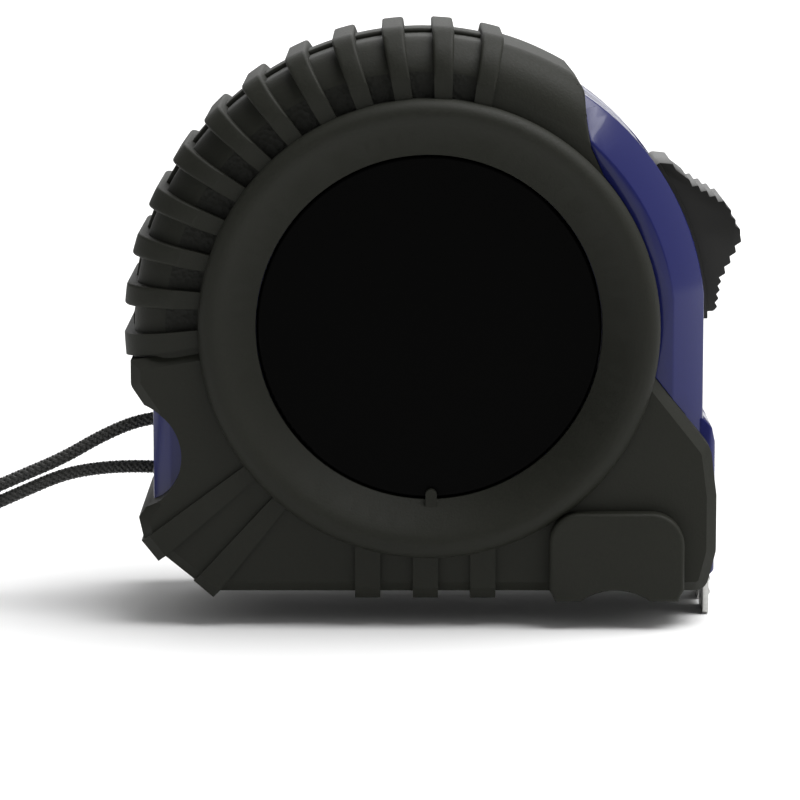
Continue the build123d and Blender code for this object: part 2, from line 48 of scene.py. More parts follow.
aim_x, aim_z = -0.00333, 0.02096
camera.location = (aim_x, -camera_away * math.cos(camera_rise),
                   aim_z + camera_away * math.sin(camera_rise))
camera.rotation_euler = (math.radians(90) - camera_rise, 0, 0)
bpy.context.scene.camera = camera


# --- Strap cord ---------------------------------------------------------------------------
# A thin braided polyester cord goes round the pin in the rear of the case.  Twelve strands
# are plaited over a soft core, and both ends are squeezed in the crimp.
def new_material(name, colour, roughness, metallic=0.0):
    """Material with its plain colour, roughness and metal set on the shader."""
    material = bpy.data.materials.new(name)
    material.use_nodes = True
    shader = material.node_tree.nodes["Principled BSDF"]
    shader.inputs["Base Color"].default_value = (*colour, 1)
    shader.inputs["Roughness"].default_value = roughness
    shader.inputs["Metallic"].default_value = metallic
    return material, shader


def new_group(name, inputs, outputs):
    """Empty shader group; inputs and outputs are (name, socket type, value) lists."""
    tree = bpy.data.node_groups.new(name, "ShaderNodeTree")
    for way, sockets in (("INPUT", inputs), ("OUTPUT", outputs)):
        for label, kind, value in sockets:
            socket = tree.interface.new_socket(label, in_out=way, socket_type=kind)
            if value is not None:
                socket.default_value = value
    return tree, tree.nodes.new("NodeGroupInput"), tree.nodes.new("NodeGroupOutput")


def add(tree, kind, settings=None, **inputs):
    """New node with its settings.  A socket given for an input is linked, and a value is set.

    An input is named with _ for each space, or as i0, i1 and so on by its number."""
    node = tree.nodes.new(kind)
    for key, value in (settings or {}).items():
        setattr(node, key, value)
    for key, value in inputs.items():
        socket = node.inputs[int(key[1:]) if key[1:].isdigit() else key.replace("_", " ")]
        if isinstance(value, bpy.types.NodeSocket):
            tree.links.new(value, socket)
        else:
            socket.default_value = value
    return node


def math_node(tree, operation, *values):
    """Output of a Math node on sockets and numbers."""
    inputs = {f"i{number}": value for number, value in enumerate(values)}
    return add(tree, "ShaderNodeMath", {"operation": operation}, **inputs).outputs[0]


speckle_group, sockets, result = new_group(
    "speckled_tone",
    [("Dark", "NodeSocketColor", (0.02, 0.02, 0.02, 1)),
     ("Light", "NodeSocketColor", (0.03, 0.03, 0.03, 1)),
     ("Patch Scale", "NodeSocketFloat", 60.0), ("Grain Scale", "NodeSocketFloat", 5000.0)],
    [("Color", "NodeSocketColor", None), ("Grain", "NodeSocketFloat", None)])
place = speckle_group.nodes.new("ShaderNodeTexCoord").outputs["Object"]
patches = add(speckle_group, "ShaderNodeTexNoise", Vector=place,
              Scale=sockets.outputs["Patch Scale"], Detail=3.0)
grain = add(speckle_group, "ShaderNodeTexNoise", Vector=place,
            Scale=sockets.outputs["Grain Scale"], Detail=2.0, Roughness=0.6)
grain_part, patch_part, darkening = 0.9, 0.6, -0.2
share = math_node(speckle_group, "MULTIPLY_ADD", grain.outputs["Fac"], grain_part, darkening)
share = math_node(speckle_group, "MULTIPLY_ADD", patches.outputs["Fac"], patch_part, share)
tone = add(speckle_group, "ShaderNodeMix", {"data_type": "RGBA", "clamp_factor": True})
speckle_group.links.new(share, tone.inputs["Factor"])
speckle_group.links.new(sockets.outputs["Dark"], tone.inputs["A"])
speckle_group.links.new(sockets.outputs["Light"], tone.inputs["B"])
speckle_group.links.new(tone.outputs["Result"], result.inputs["Color"])
speckle_group.links.new(grain.outputs["Fac"], result.inputs["Grain"])


def speckled(material, dark, light, patch, grain_scale, rough, depth):
    """Joins the speckled tone to a material: colour, a roughness range and a fine bump."""
    tree = material.node_tree
    shader = tree.nodes["Principled BSDF"]
    spots = add(tree, "ShaderNodeGroup", {"node_tree": speckle_group}, Dark=(*dark, 1),
                Light=(*light, 1), Patch_Scale=patch, Grain_Scale=grain_scale)
    tree.links.new(spots.outputs["Color"], shader.inputs["Base Color"])
    sheen = add(tree, "ShaderNodeMapRange", Value=spots.outputs["Grain"],
                To_Min=rough[0], To_Max=rough[1])
    tree.links.new(sheen.outputs["Result"], shader.inputs["Roughness"])
    bump = add(tree, "ShaderNodeBump", Strength=0.6, Distance=depth, Height=spots.outputs["Grain"])
    tree.links.new(bump.outputs["Normal"], shader.inputs["Normal"])
    return spots, bump


cord_thick = 0.0017
pin_x, pin_z = -0.027, 0.01595
crimp_tilt = math.radians(24)
crimp_x, crimp_z = -0.0516, 0.0094


def by_the_crimp(along, up):
    """Side-view point in the crimp's own directions."""
    return (crimp_x + along * math.cos(crimp_tilt) - up * math.sin(crimp_tilt),
            crimp_z + along * math.sin(crimp_tilt) + up * math.cos(crimp_tilt))


pin_clear = 0.0021
strand_off = pin_clear + cord_thick / 2
strand_turn = strand_off * math.tan(math.radians(22.5))
cord_route = [by_the_crimp(0, 0.0009), by_the_crimp(0.0036, 0.0009), (-0.0432, 0.0140),
              (-0.0386, 0.0167), (-0.0342, 0.0186), (-0.0298, 0.01905),
              (pin_x + strand_turn, pin_z + strand_off), (pin_x + strand_off, pin_z + strand_turn),
              (pin_x + strand_off, pin_z - strand_turn), (pin_x + strand_turn, pin_z - strand_off),
              (-0.0298, 0.01285), (-0.0342, 0.0131), (-0.0388, 0.0129), (-0.0432, 0.0121),
              by_the_crimp(0.0036, -0.0009), by_the_crimp(0, -0.0009)]


def smooth_line(name, route, resolution):
    """Points along the smooth NURBS line that has the route as its control points."""
    curve = bpy.data.curves.new(name, "CURVE")
    curve.dimensions = "3D"
    line = curve.splines.new("NURBS")
    line.points.add(len(route) - 1)
    for point, place in zip(line.points, route):
        point.co = (*place, 1)
    line.order_u = 3
    line.use_endpoint_u = True
    line.resolution_u = resolution
    holder = bpy.data.objects.new(name, curve)
    mesh = bpy.data.meshes.new_from_object(holder)
    points = [vertex.co.copy() for vertex in mesh.vertices]
    bpy.data.objects.remove(holder)
    return points


def evenly(points, step):
    """The line's points again, spaced evenly."""
    lengths = [0.0]
    for before, after in zip(points, points[1:]):
        lengths.append(lengths[-1] + (after - before).length)
    count = round(lengths[-1] / step)
    spaced, here = [], 0
    for number in range(count + 1):
        along = lengths[-1] * number / count
        while here < len(points) - 2 and lengths[here + 1] < along:
            here += 1
        share = (along - lengths[here]) / (lengths[here + 1] - lengths[here])
        spaced.append(points[here].lerp(points[here + 1], min(1.0, share)))
    return spaced, lengths[-1]


line_fineness = 24
cord_line = smooth_line("strap_cord_line", [(x, 0, z) for x, z in cord_route], line_fineness)
cord_step = 0.00022
cord_points, cord_length = evenly(cord_line, cord_step)
cord_mesh = bmesh.new()
across = Vector((0, 1, 0))
plait_radius, plait_wave = 0.00062, 0.00009
plait_steepness = 1.15
turn_rate = 1.0 / plait_radius / plait_steepness
core_radius = 0.00058
strand_half_wide, strand_half_thick = 0.00024, 0.00011


def strand(rings, half_wide, half_thick, sides, offset_of):
    """One closed tube along the cord; offset_of gives its angle and radius at a length."""
    loops = []
    step = cord_length / (len(cord_points) - 1)
    for number, centre in enumerate(cord_points):
        ahead = cord_points[min(number + 1, len(cord_points) - 1)]
        behind = cord_points[max(number - 1, 0)]
        up = across.cross((ahead - behind).normalized())
        angle, radius = offset_of(number * step)
        out = across * math.cos(angle) + up * math.sin(angle)
        side = up * math.cos(angle) - across * math.sin(angle)
        loop = []
        for corner in range(sides):
            way = 2 * math.pi * corner / sides
            loop.append(rings.verts.new(centre + out * (radius + half_thick * math.cos(way))
                                        + side * half_wide * math.sin(way)))
        loops.append(loop)
    for first, second in zip(loops, loops[1:]):
        for corner in range(sides):
            nxt = (corner + 1) % sides
            rings.faces.new((first[corner], first[nxt], second[nxt], second[corner]))
    rings.faces.new(loops[0])
    rings.faces.new(loops[-1])


def plaited(number, hand):
    """Angle and radius, at a length, of one strand of the plait that turns to one hand."""
    def offset_of(along):
        wave = plait_wave * math.cos(6 * turn_rate * along)
        return hand * turn_rate * along + math.pi * number / 3, plait_radius + hand * wave
    return offset_of


strand(cord_mesh, core_radius, core_radius, 10, lambda along: (0.0, 0.0))
for number in range(6):
    for hand in (1, -1):
        strand(cord_mesh, strand_half_wide, strand_half_thick, 6, plaited(number, hand))
bmesh.ops.recalc_face_normals(cord_mesh, faces=cord_mesh.faces)
cord_data = bpy.data.meshes.new("braided_cord")
cord_mesh.to_mesh(cord_data)
cord_data.shade_smooth()
braided_cord = bpy.data.objects.new("braided_cord", cord_data)
bpy.context.scene.collection.objects.link(braided_cord)
cord_fibre, cord_shader = new_material("cord_fibre", (0.01, 0.01, 0.01), 0.6)
speckled(cord_fibre, (0.004, 0.004, 0.0035), (0.022, 0.022, 0.018), 900, 9000, (0.35, 0.6), 0.00002)
cord_shader.inputs["Sheen Weight"].default_value = 0.3
cord_data.materials.append(cord_fibre)
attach(braided_cord, "case")
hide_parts("strap_cord")

# --- Crimp --------------------------------------------------------------------------------
# A strip of soft bright metal folded round the cord and the webbing, and pinched flat with
# two dents on each side.
crimp_size = (0.0050, 0.0030, 0.0042)
bpy.ops.object.select_all(action="DESELECT")
bpy.ops.mesh.primitive_cube_add(size=1, location=(-crimp_size[0] / 2, 0, 0), scale=crimp_size)
folded_crimp = bpy.context.object
folded_crimp.name = "folded_crimp"
bpy.ops.object.transform_apply(location=True, scale=True)
bpy.ops.object.mode_set(mode="EDIT")
bpy.ops.mesh.select_mode(type="FACE")


def pick(part, test):
    """Selects, in edit mode, the faces of a piece that pass a test."""
    bpy.ops.mesh.select_all(action="DESELECT")
    mesh = bmesh.from_edit_mesh(part.data)
    mesh.faces.ensure_lookup_table()
    for face in mesh.faces:
        face.select_set(test(face))
    mesh.select_flush_mode()
    bmesh.update_edit_mesh(part.data)


crimp_folds = (-0.0017, -0.0033)
dent_rim, dent_slope, dent_depth = 0.00035, 0.0003, 0.00035
mouth_rim, mouth_slope, mouth_depth = 0.00045, 0.0001, 0.0005
for cut in crimp_folds:
    bpy.ops.mesh.select_all(action="SELECT")
    bpy.ops.mesh.bisect(plane_co=(cut, 0, 0), plane_no=(1, 0, 0))
pick(folded_crimp, lambda face: abs(face.normal.y) > 0.9)
bpy.ops.mesh.inset(thickness=dent_rim, use_individual=True)
bpy.ops.mesh.inset(thickness=dent_slope, depth=-dent_depth, use_individual=True)
pick(folded_crimp, lambda face: abs(face.normal.x) > 0.9)
bpy.ops.mesh.inset(thickness=mouth_rim, use_individual=True)
bpy.ops.mesh.inset(thickness=mouth_slope, depth=-mouth_depth, use_individual=True)
bpy.ops.object.mode_set(mode="OBJECT")
rounding = folded_crimp.modifiers.new("rounding", "BEVEL")
rounding.width, rounding.segments, rounding.limit_method = 0.00025, 3, "ANGLE"
bpy.ops.object.modifier_apply(modifier="rounding")
bpy.ops.object.shade_smooth_by_angle(angle=math.radians(40))
folded_crimp.rotation_euler = (0, -crimp_tilt, 0)
folded_crimp.location = (crimp_x, 0, crimp_z)
bpy.ops.object.transform_apply(location=True, rotation=True)

brush_group, sockets, result = new_group(
    "brushed_lines",
    [("Stretch", "NodeSocketVector", (1, 1, 1)), ("Scale", "NodeSocketFloat", 2000.0)],
    [("Lines", "NodeSocketFloat", None)])
place = brush_group.nodes.new("ShaderNodeTexCoord").outputs["Object"]
stretched = add(brush_group, "ShaderNodeVectorMath", {"operation": "MULTIPLY"}, i0=place,
                i1=sockets.outputs["Stretch"])
lines = add(brush_group, "ShaderNodeTexNoise", Vector=stretched.outputs["Vector"],
            Scale=sockets.outputs["Scale"], Detail=3.0)
brush_group.links.new(lines.outputs["Fac"], result.inputs["Lines"])


def metal(name, dark, light, rough, stretch, scale=2500.0, depth=0.000012):
    """Metal with fine lines that vary its tone, its polish and its surface."""
    material, shader = new_material(name, light, rough[0], 1.0)
    tree = material.node_tree
    brushed = add(tree, "ShaderNodeGroup", {"node_tree": brush_group}, Stretch=stretch, Scale=scale)
    tone = add(tree, "ShaderNodeMix", {"data_type": "RGBA"})
    tree.links.new(brushed.outputs["Lines"], tone.inputs["Factor"])
    tone.inputs["A"].default_value = (*dark, 1)
    tone.inputs["B"].default_value = (*light, 1)
    tree.links.new(tone.outputs["Result"], shader.inputs["Base Color"])
    polish = add(tree, "ShaderNodeMapRange", Value=brushed.outputs["Lines"],
                 To_Min=rough[0], To_Max=rough[1])
    tree.links.new(polish.outputs["Result"], shader.inputs["Roughness"])
    bump = add(tree, "ShaderNodeBump", Strength=0.5, Distance=depth, Height=brushed.outputs["Lines"])
    tree.links.new(bump.outputs["Normal"], shader.inputs["Normal"])
    return material


crimp_sheet = metal("crimp_sheet", (0.55, 0.55, 0.56), (0.85, 0.85, 0.86), (0.2, 0.4), (1, 1, 4))
folded_crimp.data.materials.append(crimp_sheet)
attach(folded_crimp, "case")
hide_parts("strap_crimp")

# --- Wrist band ---------------------------------------------------------------------------
# Flat black webbing, doubled into a loop.  Both of its ends go into the crimp, where they are
# gathered, and the loop lies on whatever the case stands on.
leg_thick = 0.00125
band_half = 0.0031
band_plan = [(-0.055, 0.0, 0.0014), (-0.060, 0.0001, 0.0023), (-0.067, 0.0007, 0.0030),
             (-0.082, 0.0030, band_half), (-0.100, 0.0042, band_half),
             (-0.124, 0.0006, band_half), (-0.150, -0.0070, band_half)]
upper_leg = [by_the_crimp(-0.0046, 0.0007), by_the_crimp(-0.0090, 0.0008), (-0.0648, 0.0036),
             (-0.0710, 0.0008), (-0.0790, -0.0008), (-0.0900, -0.0010), (-0.1020, -0.00095),
             (-0.1160, -0.0008), (-0.1300, 0.0001), (-0.1410, 0.0007)]
far_fold = [(-0.1454, 0.0008), (-0.1456, -0.0008), (-0.1450, -0.0026)]
lower_leg = [(-0.1380, -0.00255), (-0.1260, -0.00255), (-0.1120, -0.00255), (-0.0980, -0.00255),
             (-0.0860, -0.0025), (-0.0770, -0.0020), (-0.0700, -0.0003), (-0.0640, 0.0019),
             by_the_crimp(-0.0090, -0.0008), by_the_crimp(-0.0046, -0.0007)]


def across_plan(x):
    """Sideways place and half width of the band at a place along it."""
    for near, far in zip(band_plan, band_plan[1:]):
        if x >= far[0]:
            share = min(1.0, max(0.0, (near[0] - x) / (near[0] - far[0])))
            share = share * share * (3 - 2 * share)
            return (near[1] + share * (far[1] - near[1]), near[2] + share * (far[2] - near[2]))
    return band_plan[-1][1:]


band_route = [(x, 0, z) for x, z in upper_leg + far_fold + lower_leg]
band_line = smooth_line("wrist_band_line", band_route, line_fineness)
band_step = 0.0006
band_points = evenly(band_line, band_step)[0]
band_mesh = bmesh.new()
band_uv = band_mesh.loops.layers.uv.new("weave")
profile = [(-1.0, 0.0), (-0.93, 0.75), (-0.75, 1.0), (-0.25, 0.92), (0.25, 0.92),
           (0.75, 1.0), (0.93, 0.75), (1.0, 0.0), (0.93, -0.75), (0.75, -1.0),
           (0.25, -0.92), (-0.25, -0.92), (-0.75, -1.0), (-0.93, -0.75)]
band_rings = []
for number, centre in enumerate(band_points):
    ahead = band_points[min(number + 1, len(band_points) - 1)]
    behind = band_points[max(number - 1, 0)]
    up = across.cross((ahead - behind).normalized())
    sideways, half = across_plan(centre.x)
    band_rings.append([band_mesh.verts.new(centre + across * (sideways + half * wide)
                                           + up * (leg_thick / 2 * thick))
                       for wide, thick in profile])
count = len(profile)
for number, (first, second) in enumerate(zip(band_rings, band_rings[1:])):
    for corner in range(count):
        nxt = (corner + 1) % count
        face = band_mesh.faces.new((first[corner], first[nxt], second[nxt], second[corner]))
        corners = ((0, corner), (0, nxt), (1, nxt), (1, corner))
        for loop, (along, place) in zip(face.loops, corners):
            loop[band_uv].uv = ((number + along) * band_step, profile[place][0] * band_half)
band_mesh.faces.new(band_rings[0])
band_mesh.faces.new(band_rings[-1])
bmesh.ops.recalc_face_normals(band_mesh, faces=band_mesh.faces)
band_data = bpy.data.meshes.new("woven_band")
band_mesh.to_mesh(band_data)
band_data.shade_smooth()
woven_band = bpy.data.objects.new("woven_band", band_data)
bpy.context.scene.collection.objects.link(woven_band)

weave_group, sockets, result = new_group(
    "webbing_weave",
    [("Pick", "NodeSocketFloat", 0.0007), ("End", "NodeSocketFloat", 0.00062)],
    [("Height", "NodeSocketFloat", None), ("Fibre Tone And Painted Shade", "NodeSocketFloat", None)])
uv = weave_group.nodes.new("ShaderNodeUVMap")
uv.uv_map = "weave"
parts = add(weave_group, "ShaderNodeSeparateXYZ", Vector=uv.outputs["UV"])
ends = math_node(weave_group, "DIVIDE", parts.outputs["Y"], sockets.outputs["End"])
picks = math_node(weave_group, "DIVIDE", parts.outputs["X"], sockets.outputs["Pick"])
stagger = math_node(weave_group, "MULTIPLY", math_node(weave_group, "FLOOR", ends), 0.5)
across_end = math_node(weave_group, "PINGPONG", ends, 0.5)
along_pick = math_node(weave_group, "PINGPONG", math_node(weave_group, "ADD", picks, stagger), 0.5)
height = math_node(weave_group, "MULTIPLY", math_node(weave_group, "SQRT", across_end),
                   math_node(weave_group, "SQRT", along_pick))
weave_group.links.new(height, result.inputs["Height"])
# The colour share is a random fibre tone plus painted shade: it rises with the weave's height, so
# the crowns of the threads are painted lighter and the gaps between them darker.
fibres = add(weave_group, "ShaderNodeTexNoise", Vector=uv.outputs["UV"], Scale=9000.0, Detail=2.0)
fibre_tone_and_painted_shade = math_node(weave_group, "MULTIPLY_ADD", fibres.outputs["Fac"], 0.5,
                  math_node(weave_group, "MULTIPLY", height, 1.3))
weave_group.links.new(fibre_tone_and_painted_shade, result.inputs["Fibre Tone And Painted Shade"])
webbing, webbing_shader = new_material("black_webbing", (0.012, 0.012, 0.01), 0.75)
tree = webbing.node_tree
weave = add(tree, "ShaderNodeGroup", {"node_tree": weave_group}, Pick=0.00072, End=0.00062)
# The webbing's colour runs from near black to dark grey with that share, partly fibre tone and
# partly painted shade between the threads.
tone = add(tree, "ShaderNodeMix", {"data_type": "RGBA"})
tree.links.new(weave.outputs["Fibre Tone And Painted Shade"], tone.inputs["Factor"])
tone.inputs["A"].default_value = (0.003, 0.003, 0.0025, 1)
tone.inputs["B"].default_value = (0.030, 0.030, 0.025, 1)
tree.links.new(tone.outputs["Result"], webbing_shader.inputs["Base Color"])
bump = add(tree, "ShaderNodeBump", Strength=0.9, Distance=0.00018, Height=weave.outputs["Height"])
tree.links.new(bump.outputs["Normal"], webbing_shader.inputs["Normal"])
webbing_shader.inputs["Sheen Weight"].default_value = 0.25
band_data.materials.append(webbing)
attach(woven_band, "case")
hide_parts("wrist_band")

# --- Rubber jacket ------------------------------------------------------------------------
# One piece of soft olive-black rubber, moulded with its ribs and rings and stretched over the
# case.  The outer edges of the crown are rounded, the surface is matt with a fine grain, and
# the sides of the pockets between the ribs are pebbled, and darkened with painted shade.
def soft_edged(node, name, width, angle=32.0, segments=2, where=lambda place: True):
    """Copy of a CAD piece with its flat faces joined up and its outer edges rounded off.

    An edge is rounded if it is sharper than the angle and both its ends pass the where test."""
    data = nodes[node].data.copy()
    data.name = name
    part = bpy.data.objects.new(name, data)
    bpy.context.scene.collection.objects.link(part)
    bpy.ops.object.select_all(action="DESELECT")
    part.select_set(True)
    bpy.context.view_layer.objects.active = part
    bpy.ops.mesh.customdata_custom_splitnormals_clear()
    data.materials.clear()
    bpy.ops.object.mode_set(mode="EDIT")
    bpy.ops.mesh.select_all(action="SELECT")
    bpy.ops.mesh.remove_doubles(threshold=0.000002)
    bpy.ops.mesh.dissolve_limited(angle_limit=math.radians(0.6))
    bpy.ops.object.mode_set(mode="OBJECT")
    shape = bmesh.new()
    shape.from_mesh(data)
    weight = shape.edges.layers.float.new("bevel_weight_edge")
    for line in shape.edges:
        sharp = line.is_convex and line.calc_face_angle(0) > math.radians(angle)
        line[weight] = 1.0 if sharp and where(line.verts[0].co) and where(line.verts[1].co) else 0.0
    shape.to_mesh(data)
    shape.free()
    edge = part.modifiers.new("edge", "BEVEL")
    edge.width, edge.segments, edge.limit_method = width, segments, "WEIGHT"
    edge.miter_outer = "MITER_ARC"
    edge.use_clamp_overlap = False
    bpy.ops.object.modifier_apply(modifier="edge")
    bpy.ops.object.shade_smooth_by_angle(angle=math.radians(36))
    return part


ring_x, ring_z = -0.0008, 0.0313
crown_foot, crown_start = 0.0325, 0.0285


def on_crown(place):
    """True on the ribs and the rim of the crown, outside the ring."""
    from_ring = math.hypot(place.x - ring_x, place.z - ring_z)
    return place.z > crown_foot and from_ring > crown_start


rubber_skin = soft_edged("rubber_jacket", "rubber_skin", 0.00032, segments=3, where=on_crown)
rubber, rubber_shader = new_material("olive_black_rubber", (0.02, 0.02, 0.016), 0.6)
spots, bump = speckled(rubber, (0.0080, 0.0084, 0.0060), (0.0180, 0.0188, 0.0135), 45, 3200,
                       (0.50, 0.72), 0.000045)
pocket_side_mm, side_reach_mm = 13.8, 0.06
pocket_radius, pocket_reach = 0.0276, 0.00178
patch_group, sockets, result = new_group(
    "pocket_pebbles_and_painted_shade",
    [("Side", "NodeSocketFloat", pocket_side_mm), ("Grain Scale", "NodeSocketFloat", 1500.0)],
    [("Mask", "NodeSocketFloat", None), ("Height", "NodeSocketFloat", None)])
place = patch_group.nodes.new("ShaderNodeTexCoord").outputs["Object"]
parts = add(patch_group, "ShaderNodeSeparateXYZ", Vector=place)
mm_per_metre = 1000.0
aside = math_node(patch_group, "MULTIPLY",
                  math_node(patch_group, "ABSOLUTE", parts.outputs["Y"]), mm_per_metre)
on_side = math_node(patch_group, "COMPARE", aside, sockets.outputs["Side"], side_reach_mm)
side_view = add(patch_group, "ShaderNodeCombineXYZ", X=parts.outputs["X"], Z=parts.outputs["Z"])
from_ring = add(patch_group, "ShaderNodeVectorMath", {"operation": "DISTANCE"},
                i0=side_view.outputs[0], i1=(ring_x, 0, ring_z))
round_ring = math_node(patch_group, "COMPARE", from_ring.outputs["Value"],
                       pocket_radius, pocket_reach)
mask = math_node(patch_group, "MULTIPLY", on_side, round_ring)
pebbles = add(patch_group, "ShaderNodeTexVoronoi", Vector=place,
              Scale=sockets.outputs["Grain Scale"])
patch_group.links.new(mask, result.inputs["Mask"])
pebble_height = math_node(patch_group, "MULTIPLY", mask, pebbles.outputs["Distance"])
patch_group.links.new(pebble_height, result.inputs["Height"])
tree = rubber.node_tree
patch = add(tree, "ShaderNodeGroup", {"node_tree": patch_group}, Side=pocket_side_mm,
            Grain_Scale=1700.0)
# Painted shade: the colour of the pocket sides between the ribs is darkened, as shade in these
# recesses; the pebbled bump there is real.
pocket_painted_shade = 0.55
pocket_shade_mix = add(tree, "ShaderNodeMix", {"data_type": "RGBA", "blend_type": "MULTIPLY"})
pocket_shade_share = math_node(tree, "MULTIPLY", patch.outputs["Mask"], pocket_painted_shade)
tree.links.new(pocket_shade_share, pocket_shade_mix.inputs["Factor"])
tree.links.new(spots.outputs["Color"], pocket_shade_mix.inputs["A"])
pocket_shade_mix.inputs["B"].default_value = (0.25, 0.25, 0.25, 1)
tree.links.new(pocket_shade_mix.outputs["Result"], rubber_shader.inputs["Base Color"])
pebbled = add(tree, "ShaderNodeBump", Strength=0.8, Distance=0.00012, Height=patch.outputs["Height"],
              Normal=bump.outputs["Normal"])
tree.links.new(pebbled.outputs["Normal"], rubber_shader.inputs["Normal"])
rubber_shader.inputs["Specular IOR Level"].default_value = 0.2
rubber_skin.data.materials.append(rubber)
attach(rubber_skin, "case")
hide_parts("rubber_jacket")

# --- Case shells --------------------------------------------------------------------------
# Two glossy navy mouldings, left and right, which meet in a fine parting line.  Only their
# bevelled front, their nose and a round window at the rear show past the rubber.
navy, navy_shader = new_material("navy_plastic", (0.02, 0.03, 0.15), 0.28)
speckled(navy, (0.0085, 0.0105, 0.078), (0.0110, 0.0140, 0.098), 70, 6000, (0.16, 0.22), 0.000002)
navy_shader.inputs["Specular IOR Level"].default_value = 0.28
for side in ("left", "right"):
    moulding = soft_edged("case_shell_" + side, side + "_moulding", 0.00018)
    moulding.data.materials.append(navy)
    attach(moulding, "case")
    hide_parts("case_shell_" + side)

# --- Label discs --------------------------------------------------------------------------
# Plain satin black discs, pressed into the rings of the jacket and left without print.
disc_black, disc_shader = new_material("satin_black_disc", (0.002, 0.002, 0.002), 0.4)
speckled(disc_black, (0.0004, 0.0004, 0.0004), (0.0008, 0.0008, 0.0007), 40, 7000,
         (0.30, 0.38), 0.000004)
disc_shader.inputs["Specular IOR Level"].default_value = 0.03
for side in ("left", "right"):
    nodes["label_disc_" + side].material_slots[0].material = disc_black

# --- Thumb lock ---------------------------------------------------------------------------
# A dark grey slide with sharp ridges for the thumb, in one moulding with its curved base.  A
# neck joins it to the brake shoe on the inside of the case.
lock_grey, lock_shader = new_material("dark_lock_plastic", (0.02, 0.02, 0.02), 0.5)
speckled(lock_grey, (0.0030, 0.0030, 0.0025), (0.0065, 0.0065, 0.0055), 90, 5200,
         (0.36, 0.5), 0.00002)
lock_shader.inputs["Specular IOR Level"].default_value = 0.3
ridged_lock = soft_edged("lock_button", "ridged_lock", 0.00012, 24.0)
ridged_lock.data.materials.append(lock_grey)
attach(ridged_lock, "lock")
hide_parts("lock_button")
nodes["lock_shoe"].material_slots[0].material = lock_grey

# --- Mouth guide --------------------------------------------------------------------------
# A pale grey plastic plate in the mouth, which the blade slides over.
guide_grey = new_material("pale_guide_plastic", (0.5, 0.5, 0.5), 0.45)[0]
speckled(guide_grey, (0.42, 0.43, 0.43), (0.52, 0.53, 0.53), 120, 5000, (0.35, 0.5), 0.00001)
nodes["mouth_guide"].material_slots[0].material = guide_grey

# --- Blade --------------------------------------------------------------------------------
# A strip of spring steel, curved across its width to stand out stiffly, lacquered yellow and
# printed with a metric scale that starts from the inside of the hook.
zero_x = 0.03205
blade_base, blade_thick = 0.007, 0.00015
ruling_group, sockets, result = new_group(
    "scale_ruling",
    [("Step", "NodeSocketFloat", 1.0), ("Half Line", "NodeSocketFloat", 0.1),
     ("Inner", "NodeSocketFloat", 6.0)],
    [("Mask", "NodeSocketFloat", None)])
place = add(ruling_group, "ShaderNodeSeparateXYZ",
            Vector=ruling_group.nodes.new("ShaderNodeTexCoord").outputs["Object"])
along = math_node(ruling_group, "MULTIPLY_ADD", place.outputs["X"], -mm_per_metre,
                  zero_x * mm_per_metre)
aside = math_node(ruling_group, "MULTIPLY",
                  math_node(ruling_group, "ABSOLUTE", place.outputs["Y"]), mm_per_metre)
turns = math_node(ruling_group, "DIVIDE", along, sockets.outputs["Step"])
off_line = math_node(ruling_group, "MULTIPLY", math_node(ruling_group, "PINGPONG", turns, 0.5),
                     sockets.outputs["Step"])
on_line = math_node(ruling_group, "LESS_THAN", off_line, sockets.outputs["Half Line"])
outside = math_node(ruling_group, "GREATER_THAN", aside, sockets.outputs["Inner"])
ruling_group.links.new(math_node(ruling_group, "MULTIPLY", on_line, outside), result.inputs["Mask"])

plain_yellow, dark_yellow, light_yellow = (0.7, 0.55, 0.05), (0.50, 0.43, 0.035), (0.60, 0.52, 0.055)
lacquer = new_material("yellow_lacquer", plain_yellow, 0.35)[0]
speckled(lacquer, dark_yellow, light_yellow, 120, 5000, (0.28, 0.42), 0.000004)
nodes["blade_coil"].material_slots[0].material = lacquer
printed, printed_shader = new_material("printed_blade", plain_yellow, 0.35)
spots = speckled(printed, dark_yellow, light_yellow, 120, 5000, (0.28, 0.42), 0.000004)[0]
tree = printed.node_tree
marks = 0.0
rulings_mm = ((1.0, 0.09, 5.9), (5.0, 0.10, 4.9), (10.0, 0.13, 0.4))
for step, half_line, inner in rulings_mm:
    ruling = add(tree, "ShaderNodeGroup", {"node_tree": ruling_group}, Step=step,
                 Half_Line=half_line, Inner=inner)
    marks = math_node(tree, "MAXIMUM", marks, ruling.outputs["Mask"])
place = add(tree, "ShaderNodeSeparateXYZ",
            Vector=tree.nodes.new("ShaderNodeTexCoord").outputs["Object"])
middle_half_line = 0.00009
middle_line = math_node(tree, "LESS_THAN",
                        math_node(tree, "ABSOLUTE", place.outputs["Y"]), middle_half_line)
marks = math_node(tree, "MAXIMUM", marks, middle_line)
black_on = add(tree, "ShaderNodeMix", {"data_type": "RGBA"})
tree.links.new(marks, black_on.inputs["Factor"])
tree.links.new(spots.outputs["Color"], black_on.inputs["A"])
black_on.inputs["B"].default_value = (0.02, 0.02, 0.018, 1)
tree.links.new(black_on.outputs["Result"], printed_shader.inputs["Base Color"])
nodes["blade_strip"].material_slots[0].material = printed

